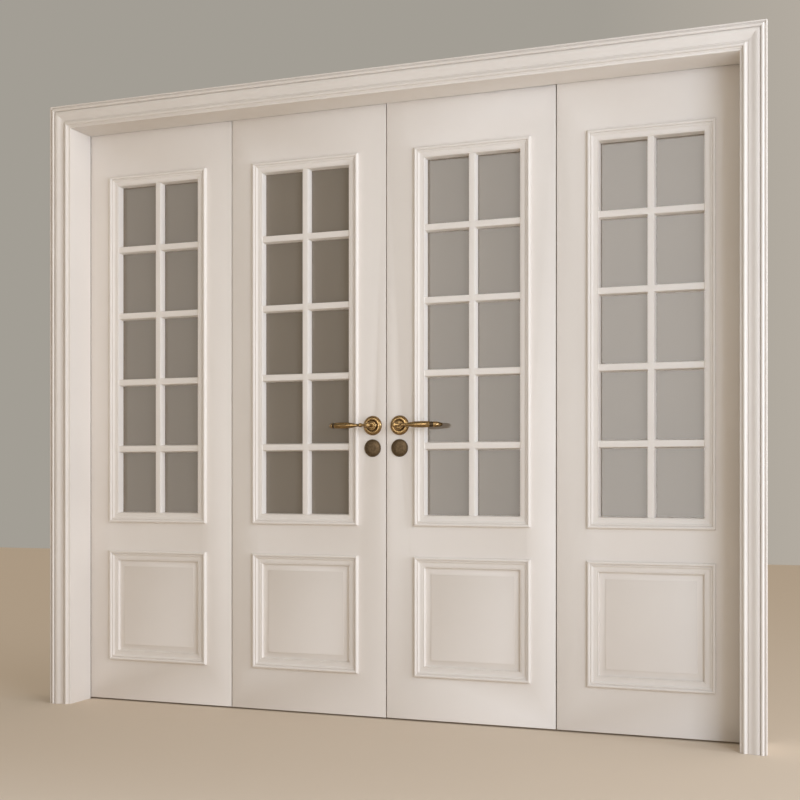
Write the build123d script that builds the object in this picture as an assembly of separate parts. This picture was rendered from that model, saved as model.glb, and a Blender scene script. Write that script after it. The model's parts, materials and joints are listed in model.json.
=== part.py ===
from build123d import *
from itertools import pairwise
from math import cos, radians, sin
import os

# Four glazed door leaves in one lined and cased frame. Each outer leaf hangs on its jamb, each inner
# leaf hangs on the outer one beside it, and the two inner leaves meet in the middle with a lever each.
# Sizes are in millimetres: +X to the right, +Y away from the viewer, +Z up.
# Until a piece is written, y = 0 is the leaves' front face and x = 0 is the middle of the doorway.
# Pins, necks and stems are round. Knuckles, roses, discs and arms have flat-sided outlines, which keeps
# a doorway of so many pieces light.

# Doorway and lining
opening_width = 2400.0  # between the two jambs
opening_height = 2124.0  # floor to the underside of the head
reveal_depth = 132.0  # front edge of the lining to the leaves' front face
lining_thickness = 40.0  # board and stop together
arris = 1.5  # the stop's eased front edge
lap = 18.0  # how far a leaf's edge lies behind the jamb, the head or its neighbour's lip
gap = 4.0  # round every leaf
floor_gap = 6.0
seal_gap = 3.0  # the leaves' front face to the lining's stop face

# Seal in the lining's stop face
seal_width = 8.0
seal_tongue = 4.0  # the width and the depth of its groove
seal_clearance = 0.3

# Casing round the lining, front and back
casing_setback = 6.0
casing_knuckle_clearance = 1.0
# Across the casing from its outer edge, and height above the wall
casing_profile = (
    (0.0, 10.0),
    (0.8, 11.0),
    (7.4, 11.0),
    (8.4, 9.6),
    (9.6, 13.0),
    (11.6, 15.2),
    (14.0, 16.0),
    (16.4, 15.2),
    (18.4, 13.0),
    (19.8, 10.0),
    (22.0, 12.0),
    (27.0, 12.8),
    (36.0, 10.6),
    (48.0, 6.4),
    (54.5, 5.4),
    (60.0, 8.2),
    (64.5, 10.2),
    (69.5, 10.4),
    (73.5, 9.0),
    (76.0, 6.4),
)
back_casing_profile = (
    (0.0, 8.0),
    (1.5, 9.5),
    (24.0, 9.5),
    (26.0, 12.0),
    (29.0, 13.0),
    (34.0, 12.0),
    (36.0, 9.0),
)

# Leaves
leaf_thickness = 44.0
lip_thickness = 20.0  # the outer leaf's front lip that covers the inner leaf's edge
stile_width = 104.0  # leaf's edge to moulding frame
bottom_rail = 147.0
panel_height = 410.0
middle_rail = 105.0
top_rail = 178.0

# Mouldings, glazing and panel
# Across the moulding from its outer edge, and height above the leaf's face
moulding_profile = (
    (0.0, 7.0),
    (2.6, 10.9),
    (5.8, 12.0),
    (9.3, 10.9),
    (11.6, 8.0),
    (19.0, 4.0),
    (30.0, 1.6),
    (36.0, 1.6),
)
moulding_lap = 20.0  # what lies on the leaf's face, the rest reaches into the opening
moulding_clearance = 0.5
glass_thickness = 6.0
glass_depth = 28.0  # leaf's front face to the glass
edge_clearance = 1.0  # glass and panel inside the leaf's openings
bar_width = 21.0
bar_recess = 2.0  # glazing bar behind the leaf's face
pane_rows = 5
pane_columns = 2
panel_recess = 10.0  # the panel's edge behind the leaf's face
panel_bevel = 22.5
bevel_rise = 3.5
field_step = 1.5

# Hinges, whose lower knuckles carry the pin
hinge_height = 100.0
hinge_plate = 2.5
jamb_plate_width = 30.0
fold_plate_width = 18.0
knuckle_radius = 7.0
pin_radius = 4.0
pin_length = 34.0
pin_clearance = 0.1
pin_end_clearance = 1.0
pin_offset = 8.0  # pin's axis behind the leaves' back face
knuckle_gap = 0.3
hinge_end_distance = 300.0  # leaf's end to the middle of the hinge nearest to it

# Flush bolts in the leaves' edges
bolt_size = 10.0  # square
bolt_tip = 1.5
bolt_length = 160.0
bolt_travel = 18.0
bolt_depth = 9.0  # leaf's edge to the bolt's axis
bolt_inset = 1.0  # leaf's end to the bolt's end
bolt_clearance = 0.3
bolt_plate_thickness = 2.5
bolt_plate_width = 17.0
bolt_plate_length = 180.0
bolt_knob_width = 5.0
bolt_knob_length = 14.0
bolt_knob_distance = 110.0  # leaf's end to the knob's middle
keeper_length = 32.0
keeper_width = 18.0
keeper_thickness = 2.0
keeper_hole_depth = 15.0

# Levers, roses and cover discs
round_sides = 16  # sides of a rose's or disc's outline
small_sides = 8  # sides of a knuckle's, boss's or arm's outline
lever_height = 1014.0
backset = 48.0  # leaf's meeting edge to the levers' axis
rose_radius = 34.0
rose_edge = 3.5
rose_dome_radius = 28.5
rose_dome_height = 6.8
rose_crown_radius = 19.0
rose_crown_height = 9.2
collar_foot_radius = 12.5
collar_foot_height = 10.0
collar_radius = 10.5
collar_height = 14.0
neck_radius = 6.5
neck_clearance = 0.1
lever_standoff = 48.0  # leaf's face to the arm's line at the neck
boss_radius = 9.5
boss_end_radius = 6.0
boss_length = 17.0
boss_bevel = 4.0
# The arm: how far along from the axis, how much further out than the neck, and its radius there
arm_stations = (
    (-9.0, 0.0, 5.0),
    (20.0, 1.5, 6.3),
    (50.0, -1.0, 7.6),
    (85.0, -8.0, 10.2),
    (118.0, -17.5, 11.0),
    (140.0, -26.0, 8.5),
    (157.0, -38.0, 4.5),
)
spindle_size = 8.0
spindle_socket = 22.0  # how far the spindle goes into the back lever
spindle_hole = 10.0
follower_radius = 6.0
cover_drop = 78.0  # levers' axis down to the discs
cover_radius = 30.5
cover_thickness = 4.0
cover_edge = 1.4

# Lock in the right inner leaf and strike in the left one
case_height = 160.0
case_depth = 72.0
case_thickness = 15.0
case_clearance = 0.3
forend_height = 210.0
forend_width = 22.0
forend_thickness = 3.0
latch_size = (34.0, 11.0, 15.0)
latch_travel = 12.0
latch_bevel = 8.8
dead_bolt_size = (36.0, 10.0, 26.0)
dead_bolt_travel = 16.0
slide_clearance = 0.2
bolt_end_clearance = 0.3
strike_clearance = 1.0
turn_spindle_radius = 3.0
turn_boss_radius = 11.0
turn_boss_height = 7.0
turn_wing = (8.0, 14.0, 30.0)
turn_wing_bevel = 8.4
turn_hole = 5.0  # room for the turn's stem in the leaf

# Wall fixings through the jambs, behind the leaves
fixing_radius = 2.75
fixing_above_floor = 160.0  # lower fixing of the left jamb
fixing_below_head = 164.0  # upper fixing of the left jamb
fixing_offset = 30.0  # right jamb's fixings are this much higher

# Worked out from the sizes above
casing_thickness = max(height for _, height in casing_profile)
moulding_width = moulding_profile[-1][0]
jamb_x = -opening_width / 2
pitch = opening_width / 4
stop_y = -seal_gap
back_y = leaf_thickness
leaf_top = opening_height + lap - gap / 2
head_rebate = opening_height + lap + gap / 2
lining_top = opening_height + lining_thickness
left_fixings = (fixing_above_floor, opening_height - fixing_below_head)
right_fixings = tuple(height + fixing_offset for height in left_fixings)
frame_width = pitch + lap - 2 * stile_width
panel_low = floor_gap + bottom_rail
glazing_low = panel_low + panel_height + middle_rail
glazing_high = leaf_top - top_rail
glazing_height = glazing_high - glazing_low
glass_back = leaf_thickness - glass_depth - glass_thickness
tongue_start = moulding_lap + moulding_clearance
hinge_low = floor_gap + hinge_end_distance
hinge_high = leaf_top - hinge_end_distance
hinge_levels = (hinge_low, (hinge_low + hinge_high) / 2, hinge_high)
back_setback = knuckle_radius - gap / 2 + casing_knuckle_clearance
lever_reach = lever_standoff + boss_length / 2
depth_shift = (reveal_depth + casing_thickness - leaf_thickness - lever_reach) / 2
meeting_x = -gap / 2
lever_x = meeting_x - backset
cover_z = lever_height - cover_drop


def block(x, y, z):
    """A box between the given lows and highs."""
    size = (x[1] - x[0], y[1] - y[0], z[1] - z[0])
    return Pos(x[0], y[0], z[0]) * Box(*size, align=(Align.MIN, Align.MIN, Align.MIN))


def rod(radius, length, axis=Axis.Z):
    """A round rod from the origin along an axis."""
    return extrude(Plane(origin=(0, 0, 0), z_dir=axis.direction) * Circle(radius), amount=length)


def bar(radius, length, axis=Axis.Z):
    """A flat-sided rod from the origin along an axis, inside the circle of this radius."""
    plane = Plane(origin=(0, 0, 0), z_dir=axis.direction)
    return extrude(plane * RegularPolygon(radius, small_sides), amount=length)


def bore(radius, length, axis=Axis.Z):
    """The room of a flat-sided bore in which a round of this radius turns."""
    plane = Plane(origin=(0, 0, 0), z_dir=axis.direction)
    return extrude(plane * RegularPolygon(radius, small_sides, major_radius=False), amount=length)


def skin(rings, capped=True, split=False):
    """A solid with flat faces through rings of points, whose side faces are whole or split in two."""
    faces = []
    for low, high in pairwise(rings):
        for number, (near, above) in enumerate(zip(low, high)):
            corners = [near, low[number - 1], high[number - 1], above]
            parts = [corners[:3], corners[2:] + corners[:1]] if split else [corners]
            faces += [Face(Wire.make_polygon(part)) for part in parts]
    if capped:
        faces += [Face(Wire.make_polygon(ring)) for ring in (rings[0], rings[-1])]
    return Solid(Shell(faces))


def ring(radius, height, sides):
    """Points round the Y axis at a height above a front face."""
    angles = [radians(360 / sides * (number + 0.5)) for number in range(sides)]
    return [(radius * cos(angle), -height, radius * sin(angle)) for angle in angles]


def turned(outline, sides=round_sides):
    """A round piece on the Y axis from radius and height, solid if its outline is open."""
    return skin([ring(radius, height, sides) for radius, height in outline])


def turned_tube(outline, sides=round_sides):
    """A round piece with a bore, whose outline comes back to its start."""
    rings = [ring(radius, height, sides) for radius, height in outline]
    return skin(rings + rings[:1], capped=False)


def flip(shape):
    """The same piece for the other half of the doorway."""
    return mirror(shape, about=Plane.YZ)


def to_back(shape, x):
    """A piece on a leaf's front face, turned to its back face about the line x."""
    return Pos(x, leaf_thickness, 0) * Rot(0, 0, 180) * Pos(-x, 0, 0) * shape


def write(name, *shapes):
    """One STEP file of the node's solids."""
    solids = [solid for shape in shapes for solid in shape.solids()]
    node = solids[0] if len(solids) == 1 else Compound(solids)
    export_step(Pos(0, depth_shift, 0) * node, f"parts/{name}.step")


# Mitred strips: a section has u across the strip from its outer edge and v out of the face it lies on


def at(u, v):
    return (-v, u)


def strip(shape, width, length, mitres=(True, True)):
    """A strip along X with its outer edge at z = 0, cut square or at 45 degrees at each end."""
    half = length / 2
    start, end = (width if mitred else 0.0 for mitred in mitres)
    outline = Polyline((-half, 0), (half, 0), (half - end, width), (-half + start, width), close=True)
    ends = extrude(Plane.XZ * make_face(outline), amount=leaf_thickness, both=True)
    return extrude(shape, amount=half, both=True) & ends


def mitred_frame(shape, width, height):
    """Four strips round the origin in the XZ plane."""
    across = strip(shape, moulding_width, width)
    upright = strip(shape, moulding_width, height)
    return [
        Pos(0, 0, -height / 2) * across,
        Pos(0, 0, height / 2) * Rot(0, 180, 0) * across,
        Pos(width / 2, 0, 0) * Rot(0, -90, 0) * upright,
        Pos(-width / 2, 0, 0) * Rot(0, 90, 0) * upright,
    ]


def section(profile, *underside):
    """The outline of a strip: its base at the outer edge, its shown profile and its underside."""
    points = [at(0, 0)] + [at(*point) for point in profile] + [at(*point) for point in underside]
    return Plane.YZ * make_face(Polyline(*points, close=True))


def moulding_section(depth):
    """A moulding with a tongue that reaches depth into the leaf."""
    return section(moulding_profile, (moulding_width, -depth), (tongue_start, -depth), (tongue_start, 0))


def casing_set(profile, inner_x, inner_z):
    """The left, right and head lengths of casing whose inner edges are at inner_x and inner_z."""
    width = profile[-1][0]
    shape = section(profile, (width, 0))
    outer_x, outer_z = inner_x + width, inner_z + width
    upright = strip(shape, width, outer_z, (False, True))
    right = Pos(outer_x, 0, outer_z / 2) * Rot(0, -90, 0) * upright
    head = Pos(0, 0, outer_z) * Rot(0, 180, 0) * strip(shape, width, 2 * outer_x)
    return flip(right), right, head


# Frame


def bolt_axes():
    """x and y of the bolt axes in the outer and in the inner left leaf."""
    outer_edge = jamb_x + pitch - lap - gap / 2
    inner_edge = meeting_x
    tongue_y = (lip_thickness + seal_gap + leaf_thickness) / 2
    return (outer_edge - bolt_depth, tongue_y), (inner_edge - bolt_depth, leaf_thickness / 2)


def head_bolt_spots():
    outer, inner = bolt_axes()
    return [outer, inner, (-outer[0], outer[1])]


def lining_head():
    """The head's board over both jambs, and the stop planted under it between the jambs' stops."""
    half = -jamb_x + lining_thickness
    board = block((-half, half), (-reveal_depth, back_y), (head_rebate, lining_top))
    for x, y in head_bolt_spots():
        board -= keeper_blank(x, y)
        board -= keeper_hole(x, y, keeper_hole_depth)
    half_stop = -jamb_x + lap + gap / 2
    stop = block((-half_stop, half_stop), (-reveal_depth, stop_y), (opening_height, head_rebate))
    edge = stop.edges().filter_by(Axis.X).sort_by(Axis.Y)[:2].sort_by(Axis.Z)[0]
    stop = chamfer(edge, arris)
    groove_z = opening_height + lap / 2
    half_seal = -jamb_x + lap / 2 + seal_tongue / 2
    tongue = (groove_z - seal_tongue / 2, groove_z + seal_tongue / 2)
    return board, stop - block((-half_seal, half_seal), (stop_y - seal_tongue, stop_y), tongue)


def keeper_blank(x, y):
    long, wide = keeper_length / 2, keeper_width / 2
    return block((x - long, x + long), (y - wide, y + wide), (head_rebate, head_rebate + keeper_thickness))


def keeper_hole(x, y, depth):
    half = bolt_size / 2 + bolt_clearance
    return block((x - half, x + half), (y - half, y + half), (head_rebate, head_rebate + depth))


def keepers():
    return [keeper_blank(x, y) - keeper_hole(x, y, keeper_thickness) for x, y in head_bolt_spots()]


def jamb(fixing_heights):
    """The left jamb: a board with its hinge recesses and fixing holes, and the stop planted on it."""
    outer_x = jamb_x - lining_thickness
    rebate_x = jamb_x - lap - gap / 2
    board = block((outer_x, rebate_x), (-reveal_depth, back_y), (0, head_rebate))
    for level in hinge_levels:
        z = (level - hinge_height / 2, level + hinge_height / 2)
        board -= block((rebate_x - hinge_plate, rebate_x), (back_y - jamb_plate_width, back_y), z)
    for height in fixing_heights:
        board -= Pos(outer_x, back_y / 2, height) * rod(fixing_radius, lining_thickness, Axis.X)
    stop = block((rebate_x, jamb_x), (-reveal_depth, stop_y), (0, opening_height))
    edge = stop.edges().filter_by(Axis.Z).sort_by(Axis.Y)[:2].sort_by(Axis.X)[-1]
    stop = chamfer(edge, arris)
    seal_x = jamb_x - lap / 2
    groove_x = (seal_x - seal_tongue / 2, seal_x + seal_tongue / 2)
    return board, stop - block(groove_x, (stop_y - seal_tongue, stop_y), (0, opening_height))


def seals():
    """Rubber strips in the stop faces of both jambs and the head."""
    pad_y = (stop_y, -seal_clearance)
    tongue_y = (stop_y - seal_tongue, stop_y)
    seal_x = jamb_x - lap / 2
    seal_z = opening_height + lap / 2
    half, tongue = seal_width / 2, seal_tongue / 2
    side = block((seal_x - half, seal_x + half), pad_y, (0, opening_height))
    side += block((seal_x - tongue, seal_x + tongue), tongue_y, (0, opening_height))
    top = block((seal_x - half, -seal_x + half), pad_y, (seal_z - half, seal_z + half))
    top += block((seal_x - tongue, -seal_x + tongue), tongue_y, (seal_z - tongue, seal_z + tongue))
    return side, flip(side), top


# Hinges: the pin's axis is at the origin, the leaf that swings is on the +X side


def hinge_side(side, plate_width, knuckle):
    """One plate with its knuckle; side is -1 for the plate that stays and 1 for the one that swings."""
    x = sorted((side * gap / 2, side * (gap / 2 + hinge_plate)))
    half = hinge_height / 2
    plate = block(x, (-pin_offset - plate_width, -pin_offset), (-half, half))
    plate += block(x, (-pin_offset, 0), knuckle)
    return plate + Pos(0, 0, knuckle[0]) * bar(knuckle_radius, knuckle[1] - knuckle[0])


def hinge_fixed(plate_width):
    """The plate that stays, with the pin standing in its lower knuckle."""
    side = hinge_side(-1, plate_width, (-hinge_height / 2, -knuckle_gap / 2))
    return side + Pos(0, 0, -knuckle_gap / 2) * rod(pin_radius, pin_length)


def hinge_swinging(plate_width):
    side = hinge_side(1, plate_width, (knuckle_gap / 2, hinge_height / 2))
    hole = bore(pin_radius + pin_clearance, pin_length + pin_end_clearance)
    return side - Pos(0, 0, -knuckle_gap / 2) * hole


def at_levels(piece, x):
    return [Pos(x, back_y + pin_offset, level) * piece for level in hinge_levels]


jamb_pin_x = jamb_x - lap
fold_pin_x = jamb_x + pitch - lap


# Leaves


def frame_middle(number):
    """x of the middle of the moulding frames on the left outer (0) or inner (1) leaf."""
    return jamb_x + number * pitch + (pitch - lap) / 2


def leaf_openings(number):
    """x range and the two z ranges of the holes for glass and panel."""
    half = frame_width / 2 - moulding_lap
    middle = frame_middle(number)
    glazing = (glazing_low + moulding_lap, glazing_high - moulding_lap)
    panel = (panel_low + moulding_lap, panel_low + panel_height - moulding_lap)
    return (middle - half, middle + half), glazing, panel


def with_openings(slab, number):
    x, glazing, panel = leaf_openings(number)
    for z in (glazing, panel):
        slab -= block(x, (0, leaf_thickness), z)
    return slab


def hinge_recesses(edge_x, into, plate_width):
    """What the hinge plates take out of a leaf's edge; into is the way from the edge into the leaf."""
    x = sorted((edge_x, edge_x + into * hinge_plate))
    y = (back_y - plate_width, back_y)
    return [block(x, y, (level - hinge_height / 2, level + hinge_height / 2)) for level in hinge_levels]


def upended(shape):
    """The same piece at the leaf's other end."""
    return Pos(0, 0, floor_gap + leaf_top) * mirror(shape, about=Plane.XY)


def bolt_pieces(edge_x, y):
    """The upper bolt, its plate and the room that both take out of the leaf's edge."""
    x = edge_x - bolt_depth
    end = leaf_top - bolt_inset
    knob_z = leaf_top - bolt_knob_distance
    knob = (knob_z - bolt_knob_length / 2, knob_z + bolt_knob_length / 2)
    half, square = bolt_knob_width / 2, bolt_size / 2
    bolt = block((x - square, x + square), (y - square, y + square), (end - bolt_length, end))
    bolt = chamfer(bolt.faces().sort_by(Axis.Z)[-1].edges(), bolt_tip)
    bolt += block((x, edge_x), (y - half, y + half), knob)
    plate_x = (edge_x - bolt_plate_thickness, edge_x)
    plate_y = (y - bolt_plate_width / 2, y + bolt_plate_width / 2)
    plate_z = (leaf_top - bolt_plate_length, leaf_top)
    slot = half + bolt_clearance
    slot_z = (knob[0] - bolt_clearance, knob[1] + bolt_travel + bolt_clearance)
    plate = block(plate_x, plate_y, plate_z) - block(plate_x, (y - slot, y + slot), slot_z)
    side = square + bolt_clearance
    channel = block((x - side, edge_x), (y - side, y + side), (end - bolt_length - bolt_clearance, leaf_top))
    return bolt, plate, channel + block(plate_x, plate_y, plate_z)


def outer_leaf():
    """The left outer leaf, whose front lip covers the edge of the inner one."""
    left = jamb_x - lap + gap / 2
    lip = jamb_x + pitch - gap / 2
    edge = lip - lap
    slab = block((left, edge), (0, leaf_thickness), (floor_gap, leaf_top))
    slab += block((edge, lip), (0, lip_thickness), (floor_gap, leaf_top))
    slab = with_openings(slab, 0)
    for recess in hinge_recesses(left, 1, jamb_plate_width) + hinge_recesses(edge, -1, fold_plate_width):
        slab -= recess
    bolt, plate, room = bolt_pieces(edge, bolt_axes()[0][1])
    return slab - room - upended(room), bolt, plate


def inner_leaf_blank():
    """The left inner leaf, cut back behind the outer leaf's lip and bored for the levers."""
    edge = jamb_x + pitch - lap + gap / 2
    front_edge = edge + lap
    slab = block((front_edge, meeting_x), (0, leaf_thickness), (floor_gap, leaf_top))
    tongue_y = (lip_thickness + seal_gap, leaf_thickness)
    slab += block((edge, front_edge), tongue_y, (floor_gap, leaf_top))
    slab = with_openings(slab, 1)
    for recess in hinge_recesses(edge, 1, fold_plate_width):
        slab -= recess
    return slab - Pos(lever_x, 0, lever_height) * bar(spindle_hole, leaf_thickness, Axis.Y)


def glazing_bars(glass_at):
    """A grid of bars round the origin, from behind the leaf's face to the glass."""
    width = frame_width - 2 * moulding_width
    height = glazing_height - 2 * moulding_width
    half = bar_width / 2
    depth = (bar_recess, glass_at)
    across = block((-width / 2, width / 2), depth, (-half, half))
    upright = block((-half, half), depth, (-height / 2, height / 2))
    row = (height + bar_width) / pane_rows
    column = (width + bar_width) / pane_columns
    grid = Part()
    for number in range(1, pane_columns):
        grid += Pos(column * number - (width + bar_width) / 2, 0, 0) * upright
    for number in range(1, pane_rows):
        grid += Pos(0, 0, row * number - (height + bar_width) / 2) * across
    return grid


def raised_panel():
    """The panel round the origin: thin edge, bevel and raised field on both faces."""
    edge = 2 * (moulding_lap + edge_clearance)
    sight = 2 * moulding_width
    field = sight + 2 * panel_bevel
    half = leaf_thickness / 2 - panel_recess
    face = ((field, half + bevel_rise + field_step), (field, half + bevel_rise), (sight, half), (edge, half))
    rings = []
    for trim, height in face + tuple((trim, -height) for trim, height in reversed(face)):
        x, z = (frame_width - trim) / 2, (panel_height - trim) / 2
        rings.append([(-x, -height, -z), (x, -height, -z), (x, -height, z), (-x, -height, z)])
    return skin(rings)


def leaf_fittings(number):
    """Panel, glass, bars and the mitred mouldings of the left outer (0) or inner (1) leaf."""
    x = frame_middle(number)
    panel_z = panel_low + panel_height / 2
    glazing_z = (glazing_low + glazing_high) / 2
    middle_y = leaf_thickness / 2
    glass_y = glass_depth + glass_thickness / 2
    trim = 2 * (moulding_lap + edge_clearance)
    glass = Box(frame_width - trim, glass_thickness, glazing_height - trim)
    spot = Pos(x, 0, glazing_z)
    bars, glazing = [], []
    for depth, turn in ((glass_depth, lambda piece: piece), (glass_back, lambda piece: to_back(piece, x))):
        bars.append(turn(spot * glazing_bars(depth)))
        strips = mitred_frame(moulding_section(depth), frame_width, glazing_height)
        glazing += [turn(spot * piece) for piece in strips]
    framing = mitred_frame(moulding_section(panel_recess), frame_width, panel_height)
    framing = [Pos(x, 0, panel_z) * piece for piece in framing]
    return {
        "panel": [Pos(x, middle_y, panel_z) * raised_panel()],
        "glass": [Pos(x, glass_y, glazing_z) * glass],
        "glazing_bars": bars,
        "glazing_moulding": glazing,
        "panel_moulding": framing + [to_back(piece, x) for piece in framing],
    }


# Lock: built in the left inner leaf's place, and flipped to the right one


def lock_pieces():
    """Case with forend, latch bolt, dead bolt and the room that the lock takes out of the leaf."""
    y = leaf_thickness / 2
    middle = (lever_height + cover_z) / 2
    forend_x = (meeting_x - forend_thickness, meeting_x)
    forend_y = (y - forend_width / 2, y + forend_width / 2)
    forend_z = (middle - forend_height / 2, middle + forend_height / 2)
    forend = block(forend_x, forend_y, forend_z)
    half, tall, slack = case_thickness / 2, case_height / 2, case_clearance
    back_x = meeting_x - case_depth
    case = block((back_x, forend_x[0]), (y - half, y + half), (middle - tall, middle + tall))
    room = forend + block(
        (back_x - slack, forend_x[0]),
        (y - half - slack, y + half + slack),
        (middle - tall - slack, middle + tall + slack),
    )
    case += forend
    bolts = []
    for (length, wide, high), z in ((latch_size, lever_height), (dead_bolt_size, cover_z)):
        x = (meeting_x - bolt_end_clearance - length, meeting_x - bolt_end_clearance)
        bolts.append(block(x, (y - wide / 2, y + wide / 2), (z - high / 2, z + high / 2)))
        grow = slide_clearance
        pocket_y = (y - wide / 2 - grow, y + wide / 2 + grow)
        case -= block((x[0] - grow, meeting_x), pocket_y, (z - high / 2 - grow, z + high / 2 + grow))
    nose = bolts[0].edges().filter_by(Axis.Z).sort_by(Axis.X)[-2:].sort_by(Axis.Y)[0]
    bolts[0] = chamfer(nose, latch_bevel)
    case -= Pos(lever_x, 0, lever_height) * bore(follower_radius, leaf_thickness, Axis.Y)
    case -= Pos(lever_x, y, cover_z) * bore(turn_spindle_radius + pin_clearance, leaf_thickness, Axis.Y)
    room += Pos(lever_x, y, cover_z) * bar(turn_hole, leaf_thickness, Axis.Y)
    return case, bolts[0], bolts[1], room


def strike_pieces():
    """Strike plate and the room for it and for both bolts in the left inner leaf's edge."""
    y = leaf_thickness / 2
    middle = (lever_height + cover_z) / 2
    x = (meeting_x - forend_thickness, meeting_x)
    plate_y = (y - forend_width / 2, y + forend_width / 2)
    plate = block(x, plate_y, (middle - forend_height / 2, middle + forend_height / 2))
    room = plate
    sides = ((latch_size, latch_travel, lever_height), (dead_bolt_size, dead_bolt_travel, cover_z))
    for (_, wide, high), travel, z in sides:
        side, end = wide / 2 + strike_clearance, high / 2 + strike_clearance
        hole = block((meeting_x - travel, meeting_x), (y - side, y + side), (z - end, z + end))
        plate -= hole
        room += hole
    return plate, room


# Levers, roses and discs round the origin: the front face is y = 0 and the arm points to -X


def rose():
    """Domed round rose with a collar round the lever's neck."""
    hole = (neck_radius + neck_clearance) / cos(radians(180 / round_sides))
    outline = (
        (hole, 0),
        (rose_radius, 0),
        (rose_radius, rose_edge),
        (rose_dome_radius, rose_dome_height),
        (rose_crown_radius, rose_crown_height),
        (collar_foot_radius, collar_foot_height),
        (collar_radius, collar_height),
        (hole, collar_height),
    )
    return turned_tube(outline)


def cover_disc():
    """Plain round disc with a bevelled edge."""
    side, top = cover_thickness - cover_edge, cover_radius - cover_edge
    return turned(((cover_radius, 0), (cover_radius, side), (top, cover_thickness)))


def lever():
    """Neck, boss and an arm that swells towards its end and curves back to the door at its tip."""
    foot, top = lever_standoff - boss_length / 2, lever_standoff + boss_length / 2
    neck = rod(neck_radius, -lever_standoff, Axis.Y)
    outline = (
        (neck_radius, foot),
        (boss_radius, foot + boss_bevel),
        (boss_radius, top - boss_bevel),
        (boss_end_radius, top),
    )
    spots = [(along, out) for along, out, _ in arm_stations]
    route = Spline(*spots)
    angles = [radians(360 / small_sides * number) for number in range(small_sides)]
    rings = []
    for (along, out), (_, _, radius) in zip(spots, arm_stations):
        way = route.tangent_at(route.param_at_point((along, out)))
        plane = Plane(origin=(-along, -lever_standoff - out, 0), x_dir=(0, 0, 1), z_dir=(-way.X, -way.Y, 0))
        rings.append([plane.from_local_coords((radius * cos(a), radius * sin(a), 0)) for a in angles])
    return neck + turned(outline, small_sides) + skin(rings, split=True)


def spindle():
    """Square bar between the two levers of one leaf."""
    half = spindle_size / 2
    return block((-half, half), (0, leaf_thickness + spindle_socket), (-half, half))


def thumb_turn():
    """Boss and oval wing on the back face's side of a cover disc, with the spindle into the lock."""
    top = cover_thickness
    wide, proud, tall = turn_wing
    boss = Pos(0, top, 0) * bar(turn_boss_radius, turn_boss_height, Axis.Y)
    wing_y = (top + turn_boss_height, top + turn_boss_height + proud)
    wing = block((-wide / 2, wide / 2), wing_y, (-tall / 2, tall / 2))
    wing = chamfer(wing.edges().filter_by(Axis.X).sort_by(Axis.Y)[-2:], turn_wing_bevel)
    stem = Pos(0, -leaf_thickness / 2, 0) * rod(turn_spindle_radius, leaf_thickness / 2 + top, Axis.Y)
    return boss + wing + stem


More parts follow.
